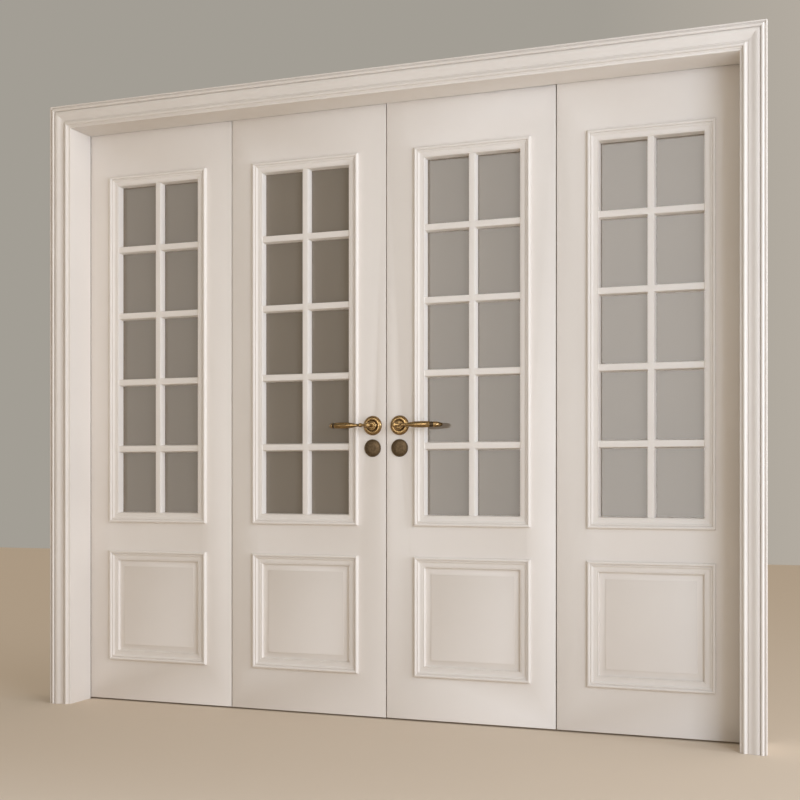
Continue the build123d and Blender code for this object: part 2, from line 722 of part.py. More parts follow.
def build():
    os.makedirs("parts", exist_ok=True)

    write("jamb_left", *jamb(left_fixings))
    write("jamb_right", *map(flip, jamb(right_fixings)))
    write("frame_head", *lining_head())
    front = casing_set(casing_profile, -jamb_x + casing_setback, opening_height + casing_setback)
    back_x, back_z = -jamb_x + lap + gap / 2 + back_setback, head_rebate + back_setback
    back = casing_set(back_casing_profile, back_x, back_z)
    write("casing_front", *[Pos(0, -reveal_depth, 0) * piece for piece in front])
    write("casing_back", *[Pos(0, back_y, 0) * Rot(0, 0, 180) * piece for piece in back])
    write("frame_seals", *seals())
    write("head_keepers", *keepers())
    jamb_plates = at_levels(hinge_fixed(jamb_plate_width), jamb_pin_x)
    write("jamb_hinge_plates", *jamb_plates, *map(flip, jamb_plates))

    outer_slab, outer_bolt, outer_plate = outer_leaf()
    outer_plates = at_levels(hinge_swinging(jamb_plate_width), jamb_pin_x)
    fold_fixed = at_levels(hinge_fixed(fold_plate_width), fold_pin_x)
    fold_swinging = at_levels(hinge_swinging(fold_plate_width), fold_pin_x)
    for name, turn in (("leaf_1", lambda piece: piece), ("leaf_4", flip)):
        write(f"{name}_slab", turn(outer_slab))
        write(f"{name}_hinge_plates", *map(turn, outer_plates + fold_fixed))
        write(f"{name}_top_bolt", turn(outer_bolt))
        write(f"{name}_bottom_bolt", turn(upended(outer_bolt)))
        write(f"{name}_bolt_plates", turn(outer_plate), turn(upended(outer_plate)))
        for fitting, pieces in leaf_fittings(0).items():
            write(f"{name}_{fitting}", *map(turn, pieces))

    blank = inner_leaf_blank()
    inner_bolt, inner_plate, bolt_room = bolt_pieces(meeting_x, leaf_thickness / 2)
    strike, strike_room = strike_pieces()
    case, latch, dead_bolt, lock_room = lock_pieces()
    write("leaf_2_slab", blank - bolt_room - upended(bolt_room) - strike_room)
    write("leaf_3_slab", flip(blank - lock_room))
    write("leaf_2_top_bolt", inner_bolt)
    write("leaf_2_bottom_bolt", upended(inner_bolt))
    write("leaf_2_bolt_plates", inner_plate, upended(inner_plate))
    write("leaf_2_strike", strike)
    write("leaf_3_lock_case", flip(case))
    write("leaf_3_latch_bolt", flip(latch))
    write("leaf_3_dead_bolt", flip(dead_bolt))

    lever_spot = Pos(lever_x, 0, lever_height)
    cover_spot = Pos(lever_x, 0, cover_z)
    front_lever = lever_spot * lever()
    back_lever = Pos(0, leaf_thickness, 0) * mirror(front_lever, about=Plane.XZ) - lever_spot * spindle()
    roses = [lever_spot * rose()]
    covers = [cover_spot * cover_disc()]
    plain_back = to_back(covers[0], lever_x)
    stem_hole = bore(turn_spindle_radius + pin_clearance, cover_thickness, Axis.Y)
    bored_back = plain_back - Pos(lever_x, leaf_thickness, cover_z) * stem_hole
    roses.append(to_back(roses[0], lever_x))
    turn_piece = Pos(lever_x, leaf_thickness, cover_z) * thumb_turn()
    for name, turn in (("leaf_2", lambda piece: piece), ("leaf_3", flip)):
        write(f"{name}_hinge_plates", *map(turn, fold_swinging))
        write(f"{name}_front_lever", turn(front_lever + lever_spot * spindle()))
        write(f"{name}_back_lever", turn(back_lever))
        write(f"{name}_roses", *map(turn, roses))
        for fitting, pieces in leaf_fittings(1).items():
            write(f"{name}_{fitting}", *map(turn, pieces))
    write("leaf_2_cover_discs", covers[0], plain_back)
    write("leaf_3_cover_discs", flip(covers[0]), flip(bored_back))
    write("leaf_3_thumb_turn", flip(turn_piece))


build()
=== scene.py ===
# %% [markdown]
# # Four glazed door leaves in a cased frame
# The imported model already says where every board, hinge and bolt of these doors is. In this lesson each of
# them gets the surface that a painter, a glazier and a brass founder would have left on it. Nothing is
# moved: a finished piece stands exactly where its plain solid is, and the glass keeps its solids.

# %% Load the doors
import json
from math import cos, pi, radians, sin

import bmesh
import bpy
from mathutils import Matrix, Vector

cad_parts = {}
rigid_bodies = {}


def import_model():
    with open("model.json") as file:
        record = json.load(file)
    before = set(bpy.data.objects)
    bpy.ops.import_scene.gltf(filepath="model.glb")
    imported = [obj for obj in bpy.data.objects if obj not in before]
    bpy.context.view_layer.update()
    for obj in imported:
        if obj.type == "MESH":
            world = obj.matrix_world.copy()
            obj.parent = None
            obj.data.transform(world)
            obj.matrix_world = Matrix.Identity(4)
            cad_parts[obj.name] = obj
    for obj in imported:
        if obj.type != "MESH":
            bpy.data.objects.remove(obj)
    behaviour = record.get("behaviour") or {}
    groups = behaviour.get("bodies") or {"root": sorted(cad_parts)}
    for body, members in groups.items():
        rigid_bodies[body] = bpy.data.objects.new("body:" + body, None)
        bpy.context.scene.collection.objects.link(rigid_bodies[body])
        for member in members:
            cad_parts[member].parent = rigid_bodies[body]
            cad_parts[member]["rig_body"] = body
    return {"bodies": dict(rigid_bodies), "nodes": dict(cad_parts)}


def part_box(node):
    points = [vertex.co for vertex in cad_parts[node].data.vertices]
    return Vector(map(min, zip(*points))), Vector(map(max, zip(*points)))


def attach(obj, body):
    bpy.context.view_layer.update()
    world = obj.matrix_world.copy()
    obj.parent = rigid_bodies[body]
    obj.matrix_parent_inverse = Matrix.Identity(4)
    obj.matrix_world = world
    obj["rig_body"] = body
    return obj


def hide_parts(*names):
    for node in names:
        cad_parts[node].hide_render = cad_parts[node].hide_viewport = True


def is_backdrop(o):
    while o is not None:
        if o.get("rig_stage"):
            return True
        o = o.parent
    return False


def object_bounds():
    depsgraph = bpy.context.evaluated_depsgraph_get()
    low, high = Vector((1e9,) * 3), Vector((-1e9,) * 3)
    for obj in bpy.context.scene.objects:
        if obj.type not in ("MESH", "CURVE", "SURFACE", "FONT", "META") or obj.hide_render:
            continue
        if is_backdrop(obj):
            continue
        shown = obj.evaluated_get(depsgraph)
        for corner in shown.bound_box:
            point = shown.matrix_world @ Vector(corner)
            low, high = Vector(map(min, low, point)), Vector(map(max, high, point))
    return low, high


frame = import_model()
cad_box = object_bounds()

nodes_of = {body: [] for body in frame["bodies"]}
for node, thing in frame["nodes"].items():
    nodes_of[thing["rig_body"]].append(node)
for body, nodes in nodes_of.items():
    print(body, "carries", len(nodes), "plain pieces")

# %% [markdown]
# Joiners think in millimetres and Blender in metres, so one small number turns the first into the second.
# The model's depths are measured from the middle of the whole doorway. Two of them come up all the time:
# the front face of the leaves, which the viewer sees, and their back face, one leaf thickness behind it.

# %% Two depths that everything is set against
MM = 0.001
slab_low, slab_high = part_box("leaf_1_slab")
front_y = slab_low.y / MM
back_y = slab_high.y / MM
leaves = ("leaf_1", "leaf_2", "leaf_3", "leaf_4")
print("leaves' front face at", round(front_y, 2), "mm, back face at", round(back_y, 2), "mm")

# %% [markdown]
# ## Finishes
# Every finish on these doors is made from noise: a cloud pattern that Blender works out at each point of
# the surface. Noise can be stretched, stacked and mapped to a colour, a roughness or a height. It lives in
# the object's own metres, so it keeps its true size and travels with a leaf when the leaf swings.

# %% Helpers that wire up noise
def new_finish(name):
    finish = bpy.data.materials.new(name)
    finish.use_nodes = True
    tree = finish.node_tree
    return finish, tree, tree.nodes["Principled BSDF"]


def cloud(tree, per_metre, detail=3.0, stretch=(1, 1, 1), seed=0.0):
    """Noise with this many lumps to the metre, squeezed along the axes by stretch."""
    place = tree.nodes.new("ShaderNodeTexCoord")
    squeeze = tree.nodes.new("ShaderNodeMapping")
    squeeze.inputs["Scale"].default_value = stretch
    squeeze.inputs["Location"].default_value = (seed, seed, seed)
    noise = tree.nodes.new("ShaderNodeTexNoise")
    noise.inputs["Scale"].default_value = per_metre
    noise.inputs["Detail"].default_value = detail
    tree.links.new(place.outputs["Object"], squeeze.inputs["Vector"])
    tree.links.new(squeeze.outputs["Vector"], noise.inputs["Vector"])
    return noise.outputs["Fac"]


def tint(tree, pattern, *stops):
    """Turns a pattern into a colour between the given (place, colour) stops."""
    ramp = tree.nodes.new("ShaderNodeValToRGB")
    elements = ramp.color_ramp.elements
    while len(elements) < len(stops):
        elements.new(0.5)
    for element, (place, colour) in zip(elements, stops):
        element.position = place
        element.color = (*colour, 1)
    tree.links.new(pattern, ramp.inputs["Fac"])
    return ramp.outputs["Color"]


def spread(tree, pattern, low, high):
    """Maps the middle of a pattern onto the range from low to high."""
    remap = tree.nodes.new("ShaderNodeMapRange")
    remap.inputs["From Min"].default_value = 0.3
    remap.inputs["From Max"].default_value = 0.7
    remap.inputs["To Min"].default_value = low
    remap.inputs["To Max"].default_value = high
    tree.links.new(pattern, remap.inputs["Value"])
    return remap.outputs["Result"]


def relief(tree, height, depth, below=None):
    """Bump of a real depth in metres, laid over another bump if one is given."""
    bump = tree.nodes.new("ShaderNodeBump")
    bump.inputs["Distance"].default_value = depth
    tree.links.new(height, bump.inputs["Height"])
    if below:
        tree.links.new(below, bump.inputs["Normal"])
    return bump.outputs["Normal"]


# %% [markdown]
# ### Satin paint
# The woodwork is sprayed with a warm off-white satin paint. Sprayed paint isn't one colour: it is a touch
# thinner here and thicker there, it dries with a fine orange-peel skin about a millimetre across, and its
# sheen wanders. One broad noise shifts the colour and a finer one the sheen. Two bumps make the skin: the
# peel itself, and long low swells from the sanding underneath, drawn out along the height of the boards.
# Three mixes of the same white are used. The mouldings and bars on the leaves are a shade paler than the
# leaves, a painted highlight for the light that their beads catch. The lining with its casing is a little
# darker, painted shade for the light that reaches it less.

# %% Satin paint for the woodwork
def satin_paint(name, thin, thick):
    finish, tree, shader = new_finish(name)
    broad = cloud(tree, 2.3, detail=4.0, seed=1.7)
    tree.links.new(tint(tree, broad, (0.32, thin), (0.68, thick)), shader.inputs["Base Color"])
    tree.links.new(spread(tree, cloud(tree, 14.0, detail=5.0), 0.40, 0.52), shader.inputs["Roughness"])
    swells = relief(tree, cloud(tree, 22.0, detail=2.0, stretch=(1, 1, 0.12)), 0.00006)
    peel = relief(tree, cloud(tree, 850.0, detail=2.0), 0.000014, swells)
    tree.links.new(peel, shader.inputs["Normal"])
    shader.inputs["Specular IOR Level"].default_value = 0.18
    return finish


door_paint = satin_paint("door_paint", (0.822, 0.774, 0.722), (0.848, 0.801, 0.750))
# A shade paler than the door paint: a painted highlight on the mouldings and bars.
trim_paint = satin_paint("trim_paint", (0.826, 0.780, 0.730), (0.850, 0.805, 0.756))
# A little darker than the door paint: painted shade on the lining and its casing.
frame_paint = satin_paint("frame_paint", (0.776, 0.728, 0.676), (0.806, 0.758, 0.706))
print("paints:", door_paint.name, trim_paint.name, frame_paint.name)

# %% [markdown]
# ### Tinted glass
# The panes are a smoky brown float glass. Light crosses two faces of the sheet, so each face takes out only
# the square root of the tint. A transmission weight a little over one half lets that share of the light
# through and shows the rest as a diffuse brown haze on the sheet, so that the doors look closed from the
# front. The haze is partly the glass's tint and partly painted shade for the dim space beyond the doors. A
# very weak, very broad bump gives the slow waver that tells glass from a hole.

# %% Smoky glass for the panes
def smoky_glass():
    finish, tree, shader = new_finish("smoky_glass")
    haze = cloud(tree, 1.6, detail=2.0, seed=4.0)
    # The brown is partly the glass's tint and partly painted shade for the dim space behind the panes.
    brown = tint(tree, haze, (0.3, (0.370, 0.323, 0.266)), (0.7, (0.395, 0.346, 0.287)))
    tree.links.new(brown, shader.inputs["Base Color"])
    tree.links.new(spread(tree, cloud(tree, 9.0), 0.015, 0.05), shader.inputs["Roughness"])
    tree.links.new(relief(tree, cloud(tree, 3.5, detail=1.0), 0.0006), shader.inputs["Normal"])
    shader.inputs["Transmission Weight"].default_value = 0.55
    shader.inputs["IOR"].default_value = 1.5
    return finish


pane_glass = smoky_glass()
print("made", pane_glass.name)

# %% [markdown]
# ### Aged brass
# Levers and roses are cast brass, darkened by the founder and rubbed bright again where a hand reaches.
# Blender's pointiness says how sharply the mesh bends outwards at a point, so mixing it with noise puts
# the bright metal on ridges and the brown patina in hollows. The bright ridges are partly that rubbing and
# partly a painted highlight along the edges. The flat cover discs never get rubbed, so they have the same
# patina without the bright stop.

# %% Brass, rubbed with painted highlights, and unrubbed
def aged_brass(name, hollow, body, ridge_highlight, rubbing_and_highlight, dullness=0.0):
    finish, tree, shader = new_finish(name)
    blotches = cloud(tree, 160.0, detail=6.0, seed=2.0)
    edge = tree.nodes.new("ShaderNodeNewGeometry").outputs["Pointiness"]
    mix = tree.nodes.new("ShaderNodeMix")
    mix.inputs["Factor"].default_value = rubbing_and_highlight
    tree.links.new(blotches, mix.inputs["A"])
    # Pointiness lightens the ridges: partly rubbed wear, partly a painted highlight on the edges.
    tree.links.new(spread(tree, edge, -0.4, 1.4), mix.inputs["B"])
    colour = tint(tree, mix.outputs["Result"], (0.3, hollow), (0.52, body), (0.8, ridge_highlight))
    tree.links.new(colour, shader.inputs["Base Color"])
    wear = spread(tree, cloud(tree, 420.0, detail=4.0), 0.18 + dullness, 0.30 + dullness)
    tree.links.new(wear, shader.inputs["Roughness"])
    casting = relief(tree, cloud(tree, 700.0, detail=3.0), 0.00006)
    tree.links.new(casting, shader.inputs["Normal"])
    shader.inputs["Metallic"].default_value = 1.0
    return finish


rubbed_brass = aged_brass(
    "rubbed_brass", (0.06, 0.036, 0.018), (0.25, 0.160, 0.070), (0.66, 0.45, 0.20), rubbing_and_highlight=0.45
)
dark_brass = aged_brass(
    "dark_brass", (0.048, 0.032, 0.018), (0.080, 0.055, 0.031), (0.13, 0.091, 0.052), rubbing_and_highlight=0.2, dullness=0.16
)
print("brasses:", rubbed_brass.name, dark_brass.name)

# %% [markdown]
# ### Steel and rubber
# The lock case is plated steel, rolled in one direction, so its noise is stretched into long scratches.
# The seals are a rubber with a dull, faintly grained skin, coloured dark brown as painted shade: they draw
# the thin dark shadow line between the leaves and the lining.

# %% Plated steel and seal rubber
def plated_steel():
    finish, tree, shader = new_finish("plated_steel")
    rolled = cloud(tree, 240.0, detail=4.0, stretch=(1, 1, 0.04))
    grey = tint(tree, rolled, (0.3, (0.42, 0.42, 0.40)), (0.7, (0.56, 0.56, 0.54)))
    tree.links.new(grey, shader.inputs["Base Color"])
    tree.links.new(spread(tree, rolled, 0.25, 0.42), shader.inputs["Roughness"])
    tree.links.new(relief(tree, rolled, 0.00003), shader.inputs["Normal"])
    shader.inputs["Metallic"].default_value = 1.0
    return finish


def seal_rubber():
    finish, tree, shader = new_finish("seal_rubber")
    skin = cloud(tree, 600.0, detail=3.0)
    # A dark brown that paints the shade in the gap between the leaves and the lining.
    brown = tint(tree, skin, (0.3, (0.050, 0.038, 0.028)), (0.7, (0.075, 0.058, 0.044)))
    tree.links.new(brown, shader.inputs["Base Color"])
    tree.links.new(spread(tree, skin, 0.62, 0.78), shader.inputs["Roughness"])
    tree.links.new(relief(tree, skin, 0.00005), shader.inputs["Normal"])
    return finish


case_steel = plated_steel()
shade_dark_strip_rubber = seal_rubber()
print("also:", case_steel.name, shade_dark_strip_rubber.name)

# %% [markdown]
# ## Making a piece
# Every finished piece goes through the same door: its corner points and faces become a mesh, the mesh gets
# its finish, the piece is hung on the body that carries it, and the plain solids that it stands for are
# hidden. Faces that meet at a shallow angle are shaded as one curve, and sharper meetings stay crisp.

# %% Helpers that finish a mesh and hang it on its body
trim_crease = 28
cast_crease = 40


def sharp_and_smooth(mesh, crease):
    """Shades a mesh as curved, but keeps the edges crisp where it turns by more than crease, in degrees."""
    mesh.shade_smooth()
    mesh.set_sharp_from_angle(angle=radians(crease))


def set_in_place(name, mesh, finish, slot, *nodes):
    """Hangs a mesh on the body of the nodes that it stands for."""
    piece = bpy.data.objects.new(name, mesh)
    bpy.context.scene.collection.objects.link(piece)
    mesh.materials.clear()
    mesh.materials.append(finish)
    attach(piece, frame["nodes"][nodes[0]]["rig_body"])
    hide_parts(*nodes)
    return piece


def mesh_of(name, parts):
    """One mesh from several (points in mm, faces) parts, its faces turned outwards."""
    shape = bmesh.new()
    for points, faces in parts:
        corners = [shape.verts.new(Vector(point) * MM) for point in points]
        for face in faces:
            shape.faces.new([corners[number] for number in face])
    bmesh.ops.recalc_face_normals(shape, faces=shape.faces)
    mesh = bpy.data.meshes.new(name)
    shape.to_mesh(mesh)
    shape.free()
    return mesh


def prism_faces(count):
    """Faces of a straight length between two outlines of count points each: its sides and both ends."""
    sides = [(n, (n + 1) % count, (n + 1) % count + count, n + count) for n in range(count)]
    return sides + [tuple(range(count)), tuple(range(count, 2 * count))]


def skin_faces(rings):
    """Faces from one ring of point numbers to the next; a ring may be a single point."""
    faces = []
    for lower, upper in zip(rings, rings[1:]):
        sides = max(len(lower), len(upper))
        for number in range(sides):
            after = (number + 1) % sides
            corners = (
                lower[number % len(lower)], lower[after % len(lower)],
                upper[after % len(upper)], upper[number % len(upper)],
            )
            faces.append(tuple(dict.fromkeys(corners)))
    return faces


# %% [markdown]
# ## Moulded trim
# The casing round the doorway and the frames round the glass and the panels are the same kind of thing: a
# profile that was run off a moulder by the length, cut at 45 degrees, and put round a rectangle. The
# profile could be drawn as a curve and swept by Blender, but a sweep rounds the mitres. So the profile is a
# list of points, u across from the outer edge and v up from the face, and each length is laid between two
# corners of the rectangle. At a corner the point with a greater u simply lies further in, along the
# diagonal, which is exactly what a mitre saw does. A hair of room is left in the joint.

# %% Lengths of moulding between mitred corners
def lengths(profile, corners, diagonals, face_y, out, joint=0.12):
    """Closed lengths of one profile from corner to corner, each corner with its way inwards.

    out is 1 where the profile stands out to the front and -1 where it stands out to the back.
    """
    parts = []
    for (start, end), (inward, onward) in zip(zip(corners, corners[1:]), zip(diagonals, diagonals[1:])):
        way = (Vector(end) - Vector(start)).normalized() * joint
        points = []
        for corner, diagonal, shift in ((start, inward, way), (end, onward, -way)):
            for u, v in profile:
                x = corner[0] + u * diagonal[0] + shift[0]
                z = corner[1] + u * diagonal[1] + shift[1]
                points.append((x, face_y - out * v, z))
        parts.append((points, prism_faces(len(profile))))
    return parts


def arc(centre, radius, start, end, steps):
    """Points of a circle in the profile, angles in degrees from +u towards +v."""
    turns = [radians(start + (end - start) * n / steps) for n in range(steps + 1)]
    return [(centre[0] + radius * cos(turn), centre[1] + radius * sin(turn)) for turn in turns]


def cove(start, middle, end, steps):
    """Points of a hollow from start to end, pulled towards middle."""
    shares = [n / steps for n in range(steps + 1)]
    return [
        tuple((1 - t) ** 2 * a + 2 * t * (1 - t) * b + t * t * c for a, b, c in zip(start, middle, end))
        for t in shares
    ]


# %% [markdown]
# The casing's profile, from its outer edge inwards: a square fillet, a groove, a full round bead with a
# quirk at its foot, a long shallow wave that catches the light, a nick, and a second round that falls
# steeply to a low ledge beside the lining. Groove, quirk and nick are cut deep, because the thin dark lines
# they draw are what makes the casing read as carved rather than printed.
# The casing round the back is a plain narrow one with a single bead.

# %% Casing round the front and the back
casing_profile = [(0, 0), (0, 9.6), (0.4, 10.6), (1.3, 11), (3.9, 11), (4.7, 10.6), (5.1, 9.6)]
casing_profile += [(5.6, 7.4), (8.4, 7.2)]
casing_profile += arc((14.2, 10.4), 5.2, 205, -25, 14)
casing_profile += [(19.3, 6.8), (20.5, 6.8), (20.9, 8.6)]
casing_profile += cove((21.4, 10.4), (23.4, 12.8), (27.4, 12.8), 6)
casing_profile += cove((29.4, 12.7), (34.4, 12.2), (40.4, 9.3), 6)
casing_profile += cove((42.4, 8.3), (48.0, 5.8), (55.0, 5.6), 6)
casing_profile += [(55.4, 3.2), (57.2, 3.0), (57.6, 4.6)]
casing_profile += cove((58.2, 5.2), (61.0, 5.6), (62.0, 7.6), 5)
casing_profile += arc((66.6, 5.8), 5.2, 158, -12, 11)
casing_profile += [(72.2, 3.2), (73.6, 2.6), (75.4, 2.6), (76, 2.2), (76, 0)]

back_profile = [(0, 0), (0, 7.4), (0.5, 8.6), (1.6, 9.5), (23.4, 9.5), (24.4, 9.2), (25.0, 9.8)]
back_profile += arc((30.2, 7.9), 5.1, 152, 20, 9)
back_profile += [(35.6, 9.2), (36, 8.4), (36, 0)]


def round_doorway(node, profile, face_y, out):
    """Lengths of a profile up one side of the doorway, over it and down the other side."""
    low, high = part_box(node)
    left, right, top = low.x / MM, high.x / MM, high.z / MM
    corners = [(left, 0), (left, top), (right, top), (right, 0)]
    diagonals = [(1, 0), (1, -1), (-1, -1), (-1, 0)]
    return lengths(profile, corners, diagonals, face_y, out)


def casing(node, profile, face_y, out):
    mesh = mesh_of(node, round_doorway(node, profile, face_y, out))
    sharp_and_smooth(mesh, trim_crease)
    return set_in_place("dressed_" + node, mesh, frame_paint, "paint", node)


lining_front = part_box("casing_front")[1].y / MM
front_casing = casing("casing_front", casing_profile, lining_front, 1)
casing("casing_back", back_profile, back_y, -1)
print("front casing has", len(front_casing.data.polygons), "faces")
print("lining's front edge at", round(lining_front, 2), "mm")

# %% [markdown]
# The frames in the leaves have a lighter profile that laps over the leaf's face: a proud round bead, a
# quirk, a short steep fall, a flat with a nick near its end, and a rounded edge. Its tongue reaches into
# the opening, as far as the glass in the upper frame and as far as the panel in the lower one. The side of
# the tongue that shows leans a little, so that it catches the light.

# %% Profile of the frames in the leaves
lap_width = 36
tongue_start = 20.5
tongue_lean = 0.08
panel_depth = 10

lap_profile = [(0, 0), (0, 5.6)]
lap_profile += arc((5.2, 6.6), 5.2, 184, 10, 13)
lap_profile += [(10.6, 5.3), (11.8, 5.1), (12.2, 6.2)]
lap_profile += cove((12.8, 7.2), (15.4, 7.2), (17.6, 4.4), 5)
lap_profile += cove((18.4, 3.6), (19.6, 2.7), (22.0, 2.6), 4)
lap_profile += [(30.8, 2.4), (31.3, 0.5), (33.3, 0.4), (33.7, 1.9), (35.2, 1.8), (lap_width, 0.8)]


def frame_profile(depth):
    """The profile with a tongue of this depth."""
    tongue = [(lap_width + tongue_lean * depth, -depth), (tongue_start, -depth), (tongue_start, 0)]
    return lap_profile + tongue


def framing(node, front_depth, back_depth):
    """The frames on both faces of a leaf, which stand for one node of mouldings."""
    low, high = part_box(node)
    left, right, foot, top = low.x / MM, high.x / MM, low.z / MM, high.z / MM
    corners = [(left, foot), (right, foot), (right, top), (left, top), (left, foot)]
    diagonals = [(1, 1), (-1, 1), (-1, -1), (1, -1), (1, 1)]
    parts = lengths(frame_profile(front_depth), corners, diagonals, front_y, 1)
    parts += lengths(frame_profile(back_depth), corners, diagonals, back_y, -1)
    mesh = mesh_of(node, parts)
    sharp_and_smooth(mesh, trim_crease)
    set_in_place("dressed_" + node, mesh, trim_paint, "paint", node)


glass_low, glass_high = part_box("leaf_1_glass")
glass_depth = glass_low.y / MM - front_y
glass_depth_behind = back_y - glass_high.y / MM
for leaf in leaves:
    framing(leaf + "_glazing_moulding", glass_depth, glass_depth_behind)
    framing(leaf + "_panel_moulding", panel_depth, panel_depth)
print("frames on", len(leaves), "leaves, glass lies", round(glass_depth, 2), "mm behind the face")

# %% [markdown]
# ## Boards
# No painted board has a knife edge. The joiner takes the corner off with a block plane and the paint fills
# what is left, so each edge is a tiny round that catches a line of light. The plain solid already has the
# right shape, with every recess for hinges and bolts, so a copy of its mesh is cleaned of the triangles
# that the file format cut it into, and a bevel modifier rounds its edges. Where one node holds two boards
# that touch, the copy is parted first, or the shared corners would be welded together. A face that lies in
# the joint itself belongs to the board that it looks away from.

# %% Copies of boards with eased edges
touching = 1e-5


def board_faces(node, side=0, axis=0, level=0.0):
    """A fresh copy of a node's mesh; side 1 keeps only what lies above level on the axis, side -1 below."""
    shape = bmesh.new()
    shape.from_mesh(frame["nodes"][node].data)
    if side:
        unwanted = []
        for face in shape.faces:
            away = face.calc_center_median()[axis] - level
            if abs(away) < touching:
                away = -face.normal[axis]
            if away * side < 0:
                unwanted.append(face)
        bmesh.ops.delete(shape, geom=unwanted, context="FACES")
    bmesh.ops.remove_doubles(shape, verts=shape.verts, dist=touching)
    bmesh.ops.dissolve_limit(shape, angle_limit=radians(0.5), verts=shape.verts, edges=shape.edges)
    return shape


def eased(name, node, width, finish, slot, joint=(), segments=2):
    """Stands for the node with a copy whose edges are rounded by width, in mm."""
    shape = board_faces(node, *joint)
    mesh = bpy.data.meshes.new(name)
    shape.to_mesh(mesh)
    shape.free()
    mesh.shade_smooth()
    piece = set_in_place(name, mesh, finish, slot, node)
    rounding = piece.modifiers.new("eased_edges", "BEVEL")
    rounding.width = width * MM
    rounding.segments = segments
    rounding.limit_method = "ANGLE"
    rounding.angle_limit = radians(25)
    rounding.harden_normals = True


# %% Slabs and panels of the leaves
for leaf in leaves:
    eased(leaf + "_board", leaf + "_slab", 1.2, door_paint, "paint", segments=3)
    eased(leaf + "_fielded_panel", leaf + "_panel", 0.25, door_paint, "paint")
print("leaves dressed:", ", ".join(leaves))

# %% [markdown]
# ### Glazing bars
# A bar that holds glass is narrow in front and broader at its foot, where the putty or bead sits, so its
# sides catch light that a square bar would miss. One outline does for all of them: it is laid along each
# line of the grid, from one tongue of the frame to the other, in front of the glass and again behind it.
# The level bars lie a hair deeper than the upright one, so that their faces don't share a plane where they
# cross.

# %% Bars with sides that spread towards the glass
bar_width = 21.0
bar_spread = 3.4
bar_recess = 2.0
bar_round = 1.1
level_bar_sink = 0.04


def straight_bar(start, end, face_y, out, depth, sink=0.0):
    """One bar from start to end, each given as (x, z), its foot at this depth."""
    along = (Vector(end) - Vector(start)).normalized()
    centre = (bar_width / 2 - bar_round, bar_recess + sink + bar_round)
    half = arc(centre, bar_round, -90, -8, 4) + [(bar_width / 2 + bar_spread, depth)]
    outline = half + [(-across, down) for across, down in reversed(half)]
    points = [
        (spot[0] - across * along.y, face_y + out * down, spot[1] + across * along.x)
        for spot in (start, end)
        for across, down in outline
    ]
    return points, prism_faces(len(outline))


def grid_of_bars(node, face_y, out, depth, columns=2, rows=5):
    """The bars on one side of the glass that part it into equal panes."""
    low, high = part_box(node)
    left, right, foot, top = low.x / MM, high.x / MM, low.z / MM, high.z / MM
    column, row = (right - left + bar_width) / columns, (top - foot + bar_width) / rows
    uprights = [left - bar_width / 2 + column * n for n in range(1, columns)]
    levels = [foot - bar_width / 2 + row * n for n in range(1, rows)]
    parts = [straight_bar((x, foot), (x, top), face_y, out, depth) for x in uprights]
    parts += [straight_bar((left, z), (right, z), face_y, out, depth, level_bar_sink) for z in levels]
    return parts


for leaf in leaves:
    node = leaf + "_glazing_bars"
    parts = grid_of_bars(node, front_y, 1, glass_depth)
    parts += grid_of_bars(node, back_y, -1, glass_depth_behind)
    mesh = mesh_of(leaf + "_bars", parts)
    sharp_and_smooth(mesh, trim_crease)
    set_in_place(leaf + "_spread_bars", mesh, trim_paint, "paint", node)
print("bars are", bar_width, "mm wide in front and", bar_width + 2 * bar_spread, "mm at the glass")

# %% [markdown]
# ### Lining
# Each jamb, and the head too, is a board with a second board planted on it as a stop. Two measures, in
# metres from the doorway's middle and from the floor, say where one ends and the other begins.

# %% Jambs and head, each a board with its stop
jamb_joint_x = 1.220
head_joint_z = 2.144
x_axis, z_axis = 0, 2
for node, outward, axis, level in (
    ("jamb_left", -1, x_axis, -jamb_joint_x),
    ("jamb_right", 1, x_axis, jamb_joint_x),
    ("frame_head", 1, z_axis, head_joint_z),
):
    name = node.replace("frame_", "")
    eased(name + "_board", node, 0.8, frame_paint, "paint", joint=(outward, axis, level))
    eased(name + "_stop", node, 1.2, frame_paint, "paint", joint=(-outward, axis, level))
print("jambs and head dressed, each as a board and a stop")

# %% [markdown]
# ## Turned brass
# Roses and discs are turned on a lathe, and so are these: a list of radii and heights is spun round the
# lever's axis. The rose is a broad rounded ring that catches the light and falls into a deep, dark groove
# round its collar.

# %% A lathe that stands on the leaf's face
def spun(outline, centre, face_y, out, segments=64):
    """Spins (radius, height) points round an axis through centre; radius 0 closes the piece."""
    points, rings = [], []
    for radius, height in outline:
        count = segments if radius else 1
        rings.append(range(len(points), len(points) + count))
        for number in range(count):
            turn = 2 * pi * number / segments
            x, z = centre[0] + radius * cos(turn), centre[1] + radius * sin(turn)
            points.append((x, face_y - out * height, z))
    return points, skin_faces(rings)


rose_outline = [(6.7, 0), (33.4, 0), (34, 0.7), (34, 1.9), (33.7, 2.7), (33.2, 3.9), (32.3, 5.4)]
rose_outline += [(30.9, 6.9), (29.0, 8.2), (26.6, 9.1), (24.0, 9.5), (21.8, 9.3), (20.0, 8.6)]
rose_outline += [(18.8, 7.4), (18.2, 6.4), (17.2, 6.3), (16.7, 7.4), (15.9, 8.9), (14.8, 9.9)]
rose_outline += [(13.4, 10.4), (12.2, 10.5), (11.6, 10.0), (11.2, 10.4), (11, 12.4), (10.6, 13.4)]
rose_outline += [(9.6, 14), (6.7, 14), (6.7, 0)]
disc_outline = [(0, 0), (30.1, 0), (30.5, 0.4), (30.5, 2.4), (30.1, 3.2), (29.4, 3.6), (27, 3.7)]
disc_outline += [(26.5, 3.5), (26, 3.7), (25.4, 4), (12, 4), (0, 4)]

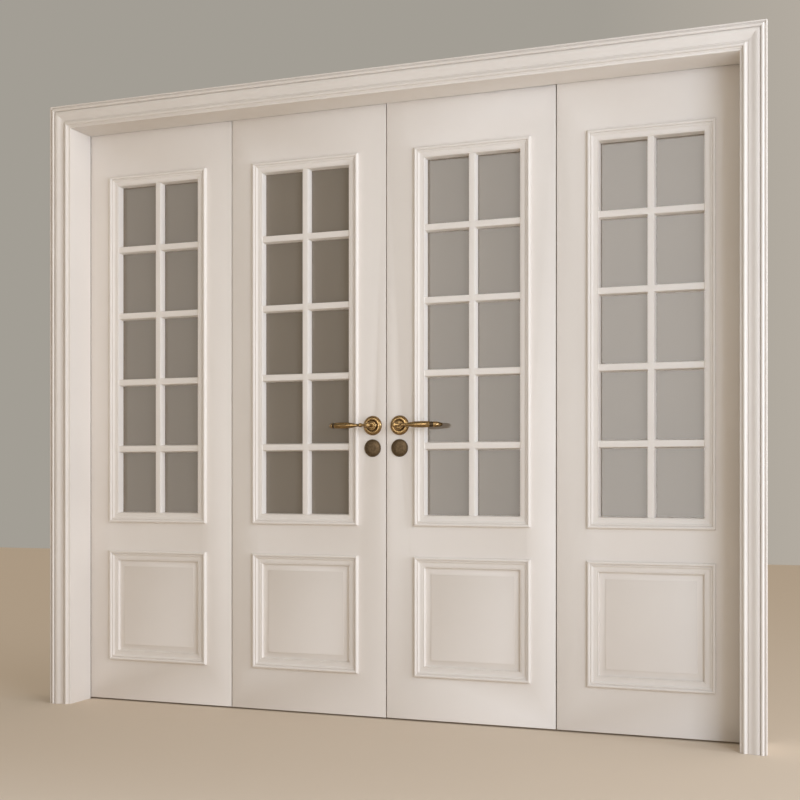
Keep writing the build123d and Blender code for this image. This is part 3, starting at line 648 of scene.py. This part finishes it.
lever_x = 50.0
lever_z = 1014.0
cover_z = 936.0
lever_leaves = (("leaf_2", -1), ("leaf_3", 1))
leaf_faces = (("front", front_y, 1), ("back", back_y, -1))
for leaf, way in lever_leaves:
    for name, outline, level, finish, node in (
        ("_stepped_roses", rose_outline, lever_z, rubbed_brass, "_roses"),
        ("_plain_discs", disc_outline, cover_z, dark_brass, "_cover_discs"),
    ):
        turned = [spun(outline, (way * lever_x, level), face_y, out) for _, face_y, out in leaf_faces]
        mesh = mesh_of(leaf + name, turned)
        sharp_and_smooth(mesh, cast_crease)
        set_in_place(leaf + name, mesh, finish, "brass", leaf + node)
print("roses and discs turned, levers", 2 * lever_x, "mm apart and", lever_z, "mm above the floor")

# %% [markdown]
# ## Levers
# Each lever is one casting. A round neck stands out of the rose and turns into a hub. From the hub the arm
# sets off sideways: a slim waist, a little bead, a long swell that fills the hand, a dark band, and an end
# that tapers and bends back to the door. A tube with a changing radius does this well, so a smooth curve is
# drawn through a few stations and a ring of points is set square to it at each small step. At each distance
# from the axis the line says how far the arm lies in front of its usual standoff from the door, and the
# girth says its radius. The band is a short tube of its own on the same line, in the darker brass, which is
# partly patina and partly painted shade for the groove that the band sits in.

# %% The arm's line and its girth
arm_line = [
    (-9, 0), (20, 0.3), (50, -0.7), (85, -2.9), (108, -5),
    (122, -8), (132, -12), (143, -20), (151, -29), (157, -39),
]
arm_start, arm_end = arm_line[0][0], arm_line[-1][0]
arm_standoff = 48.0
ring_step = 2.0
arm_girth = [
    (-8.6, 4.0), (-6, 6.4), (0, 7.2), (10, 6.2), (16, 5.0), (19.6, 4.8), (22, 5.6), (24.2, 7.0), (27, 7.7),
    (29.8, 7.0), (32, 5.6), (34.4, 4.9), (39, 5.0), (48, 6.4), (60, 8.6), (74, 10.3), (90, 11.1),
    (104, 11.2), (116, 10.9), (121.6, 10.6), (122.8, 9.8), (123.4, 8.4), (132.2, 8.2), (132.8, 9.3),
    (134, 9.9), (140, 9.6), (147, 8.5), (152, 7.1), (155, 5.6), (156.4, 4.2), (157, 2.4),
]
band_girth = [
    (123.0, 8.0), (123.4, 9.3), (124.4, 9.7), (128, 9.2), (131.2, 9.5), (132.2, 9.1), (132.6, 7.8),
]


def smooth_through(stations, x):
    """A smooth curve through stations, read at x (Catmull-Rom)."""
    last = len(stations) - 2
    here = max(n for n in range(last + 1) if n == 0 or stations[n][0] <= x)
    a, b = stations[here], stations[here + 1]
    before = stations[max(here - 1, 0)]
    after = stations[min(here + 2, last + 1)]
    span = b[0] - a[0]
    t = (x - a[0]) / span
    slope_a = (b[1] - before[1]) / max(b[0] - before[0], 1e-6) * span
    slope_b = (after[1] - a[1]) / max(after[0] - a[0], 1e-6) * span
    return (
        (2 * t**3 - 3 * t**2 + 1) * a[1]
        + (t**3 - 2 * t**2 + t) * slope_a
        + (3 * t**2 - 2 * t**3) * b[1]
        + (t**3 - t**2) * slope_b
    )


def arm(girths, axis_x, way, face_y, out, sides=40):
    """A stretch of the arm as rings square to its line; way is -1 for an arm to the left."""
    first, last = girths[0][0], girths[-1][0]
    steps = [n * ring_step for n in range(int(arm_start / ring_step), int(arm_end / ring_step) + 1)]
    reach = sorted({station for station, _ in girths} | {step for step in steps if first < step < last})
    points = []
    for along in reach:
        here = smooth_through(arm_line, along)
        before, after = max(along - 0.5, arm_start), min(along + 0.5, arm_end)
        rise = smooth_through(arm_line, after) - smooth_through(arm_line, before)
        run = Vector((after - before, rise)).normalized()
        girth = smooth_through(girths, along)
        for number in range(sides):
            turn = 2 * pi * number / sides
            sideways, up = girth * cos(turn), girth * sin(turn)
            x = axis_x + way * (along - sideways * run.y)
            y = face_y - out * (arm_standoff + here + sideways * run.x)
            points.append((x, y, lever_z + up))
    rings = [range(n * sides, (n + 1) * sides) for n in range(len(reach))]
    return points, skin_faces(rings) + [tuple(rings[0]), tuple(rings[-1])]


neck_outline = [(0, 0.2), (6.4, 0.2), (6.4, 22), (6.4, 33), (6.9, 37.4), (7.9, 39.4), (9.1, 41.4)]
neck_outline += [(9.6, 44), (9.6, 50), (9.2, 52.4), (8.2, 54.2), (6.4, 55.6), (4.2, 56.2), (0, 56.4)]
spindle_outline = [(-4, -4), (4, -4), (4, 4), (-4, 4)]
spindle_ends = (front_y + 0.3, back_y + 20)


def spindle(axis_x):
    """The square bar that runs from the front lever through the lock to the back one."""
    points = [(axis_x + x, y, lever_z + z) for y in spindle_ends for x, z in spindle_outline]
    return points, prism_faces(len(spindle_outline))


for leaf, way in lever_leaves:
    axis_x = way * lever_x
    for place, face_y, out in leaf_faces:
        node = f"{leaf}_{place}_lever"
        parts = [spun(neck_outline, (axis_x, lever_z), face_y, out, segments=48)]
        parts.append(arm(arm_girth, axis_x, way, face_y, out))
        if place == "front":
            parts.append(spindle(axis_x))
        mesh = mesh_of(node, parts)
        sharp_and_smooth(mesh, cast_crease)
        set_in_place(f"{leaf}_{place}_handle", mesh, rubbed_brass, "brass", node)
        # The band's darker brass is partly patina and partly painted shade for its groove.
        mesh = mesh_of(node + "_band", [arm(band_girth, axis_x, way, face_y, out)])
        sharp_and_smooth(mesh, cast_crease)
        set_in_place(f"{leaf}_{place}_handle_band", mesh, dark_brass, "brass", node)
print("four levers cast, each with its band, arms reach", arm_end, "mm from the axis")

# %% [markdown]
# ## Hinges, bolts and the lock
# Most of these pieces show only when a leaf stands open. Each is already right as a solid, so it is copied
# with a fine bevel, which turns cut metal into pressed and filed metal.

# %% Small metalwork with filed edges
metalwork = {
    "jamb_hinge_plates": ("jamb_hinges", 0.4, dark_brass, "brass"),
    "head_keepers": ("head_keeper_plates", 0.3, dark_brass, "brass"),
    "leaf_2_strike": ("strike_plate", 0.3, dark_brass, "brass"),
    "leaf_3_lock_case": ("lock_body", 0.3, case_steel, "steel"),
    "leaf_3_latch_bolt": ("latch", 0.5, rubbed_brass, "brass"),
    "leaf_3_dead_bolt": ("dead_bolt", 0.6, rubbed_brass, "brass"),
    "leaf_3_thumb_turn": ("oval_thumb_turn", 0.8, rubbed_brass, "brass"),
}
for leaf in leaves:
    metalwork[leaf + "_hinge_plates"] = (leaf + "_hinges", 0.4, dark_brass, "brass")
    if leaf != "leaf_3":
        metalwork[leaf + "_bolt_plates"] = (leaf + "_slotted_plates", 0.3, dark_brass, "brass")
        metalwork[leaf + "_top_bolt"] = (leaf + "_upper_bolt", 0.4, dark_brass, "brass")
        metalwork[leaf + "_bottom_bolt"] = (leaf + "_lower_bolt", 0.4, dark_brass, "brass")
for node, (name, width, finish, slot) in metalwork.items():
    eased(name, node, width, finish, slot)
print(len(metalwork), "pieces of metalwork filed")

# %% [markdown]
# ## Seals and glass
# The solid of the seals is the strip that fills its groove. A real strip also has a soft round lip that
# reaches to the corner of the stop. The lip is one more profile run round the doorway, joined to a copy of
# the strip. It stays short of the jamb's face. Its dark rubber is painted shade: with the doors closed, its
# edge draws the thin dark shadow line of the gap between the leaves and the lining.

# %% Seals with a lip
lip_room = 2.7
lip_centre, lip_radius = (10.9, 1.35), 1.25
rubber_crease = 32
seal_low, seal_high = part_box("frame_seals")
lip_profile = [(8.1, 0.1), (8.1, 2.6)] + arc(lip_centre, lip_radius, 90, -90, 8)
lips = mesh_of("lips", round_doorway("frame_seals", lip_profile, seal_high.y / MM - lip_room, -1))
strips = board_faces("frame_seals")
strips.from_mesh(lips)
seal_mesh = bpy.data.meshes.new("lipped_seals")
strips.to_mesh(seal_mesh)
strips.free()
sharp_and_smooth(seal_mesh, rubber_crease)
# The dark rubber paints the shadow line in the gap.
set_in_place("lipped_seals", seal_mesh, shade_dark_strip_rubber, "seal", "frame_seals")

# %% [markdown]
# A sheet of glass is exactly what its solid says, so the four sheets keep their solids and only get a
# finish.

# %% Glass keeps its solids
for leaf in leaves:
    sheet = frame["nodes"][leaf + "_glass"].data
    sheet.materials.clear()
    sheet.materials.append(pane_glass)
print("glass finish:", pane_glass.name)

# %% [markdown]
# ## Studio
# The doors stand on a plain pale floor. The camera stands to the right of the doorway's middle, a little
# higher than a table top, and looks to the left. It is dead level, and its lens is shifted up instead of
# tilted, as an architecture photographer would do it, so every upright stays upright.

# %% Floor and camera
far = 9000
floor_corners = [(-far, -far, 0), (far, -far, 0), (far, far, 0), (-far, far, 0)]
floor_mesh = mesh_of("studio_floor", [(floor_corners, [(0, 1, 2, 3)])])
floor = bpy.data.objects.new("studio_floor", floor_mesh)
bpy.context.scene.collection.objects.link(floor)
floor_finish, floor_tree, floor_shader = new_finish("pale_floor")
floor_shader.inputs["Base Color"].default_value = (0.72, 0.62, 0.50, 1)
floor_shader.inputs["Roughness"].default_value = 0.9
floor.data.materials.append(floor_finish)
floor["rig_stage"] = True

camera_data = bpy.data.cameras.new("camera")
camera_data.lens = 57.95
camera_data.sensor_width = 36.0
camera_data.shift_y = 0.101
camera = bpy.data.objects.new("camera", camera_data)
camera.location = (1.631, -4.110, 0.823)
camera.rotation_euler = (radians(90), 0, radians(20.92))
bpy.context.scene.collection.objects.link(camera)
bpy.context.scene.camera = camera
print("camera stands", round(-camera.location.y, 2), "m in front of the doorway's middle")

# %% [markdown]
# A soft key light stands to the right, in front and at about a standing person's eye level. It leaves the
# soffit to the light from the floor and lets the right jamb shade the edge of the last leaf. A second light
# far out to the right rakes along the doors, like a window in the next wall, and picks out every side that
# faces it. A third shines straight down in front of the doors, so that the floor throws warm light up under
# the head.

# %% Soft studio light
def softbox(name, place, target, size, power, colour):
    """A flat light at place that faces target; size is its width and height."""
    data = bpy.data.lights.new(name, "AREA")
    data.shape = "RECTANGLE"
    data.size, data.size_y = size
    data.energy = power
    data.color = colour
    lamp = bpy.data.objects.new(name, data)
    lamp.location = place
    lamp.rotation_euler = (Vector(target) - Vector(place)).to_track_quat("-Z", "Y").to_euler()
    bpy.context.scene.collection.objects.link(lamp)
    return lamp


softbox("key_light", (3.4, -3.0, 1.7), (0.2, 0.0, 1.2), (1.9, 2.2), 71.0, (0.73, 0.86, 1.05))
softbox("side_window", (7.6, -1.5, 1.5), (-0.6, 0.0, 1.2), (1.6, 2.6), 190.0, (0.81, 0.92, 1.06))
floor_wash = softbox("floor_wash", (0.0, -3.8, 3.4), (0.0, -3.8, 0.0), (3.4, 1.8), 50.0, (0.66, 0.80, 1.0))
floor_wash.data.spread = 1.2

# %% [markdown]
# Glass shows what it mirrors. Three tall glowing cards face the doors, one for the first leaf, one for the
# third and one for the fourth. The second leaf mirrors only the dim wall between two cards. Diffuse rays
# don't see the cards, so they change the panes, the sheen of the paint and the glints in the brass, and not
# the shading. Rays that come through a pane don't see them either, or they would glow through the doors
# when someone looks from behind.

# %% Cards for the panes to mirror
card_distance = 6.4
card_height = 3.7
card_middle_z = 2.05
card_white = (1.0, 0.99, 0.98)
for name, middle_x, width, power in (
    ("far_card", -4.83, 1.55, 24.0),
    ("near_card", -1.75, 1.5, 57.0),
    ("bright_card", -0.2, 1.6, 88.0),
):
    place, target = (middle_x, -card_distance, card_middle_z), (middle_x, 0.0, card_middle_z)
    card = softbox(name, place, target, (width, card_height), power, card_white)
    card.visible_diffuse = False
    card.visible_transmission = False
print("cards stand", card_distance, "m in front of the doorway's middle")

# %% [markdown]
# A studio is rarely lit evenly all round. Here its walls are warm and brighten towards the right. The
# direction that a ray leaves the scene in is turned into one number, how far it points to the bright side,
# and that number blends a dim warm grey into a bright one.

# %% Studio walls that fade from bright to dim
world = bpy.data.worlds.new("studio")
world.use_nodes = True
sky = world.node_tree
where = sky.nodes.new("ShaderNodeTexCoord")
facing = sky.nodes.new("ShaderNodeVectorMath")
facing.operation = "DOT_PRODUCT"
facing.inputs[1].default_value = Vector((1.0, 0.0, 0.0))
sky.links.new(where.outputs["Generated"], facing.inputs[0])
walls = sky.nodes.new("ShaderNodeMapRange")
walls.inputs["From Min"].default_value = -0.2
walls.inputs["From Max"].default_value = 1.0
sky.links.new(facing.outputs["Value"], walls.inputs["Value"])
greys = sky.nodes.new("ShaderNodeValToRGB")
greys.color_ramp.elements[0].color = (0.324, 0.303, 0.266, 1)
greys.color_ramp.elements[1].color = (0.955, 0.803, 0.665, 1)
sky.links.new(walls.outputs["Result"], greys.inputs["Fac"])
sky.links.new(greys.outputs["Color"], sky.nodes["Background"].inputs["Color"])
sky.nodes["Background"].inputs["Strength"].default_value = 1.13
bpy.context.scene.world = world
bpy.context.scene.view_settings.view_transform = "Standard"

# %% [markdown]
# ## Measuring up
# Last of all the dressed doors are measured, and their size is printed beside that of the plain ones. A coat
# of finish mustn't make them bigger.

# %% Sizes before and after
dressed_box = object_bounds()
for label, corners in (("plain", cad_box), ("dressed", dressed_box)):
    print(label, [[round(value, 4) for value in corner] for corner in corners])
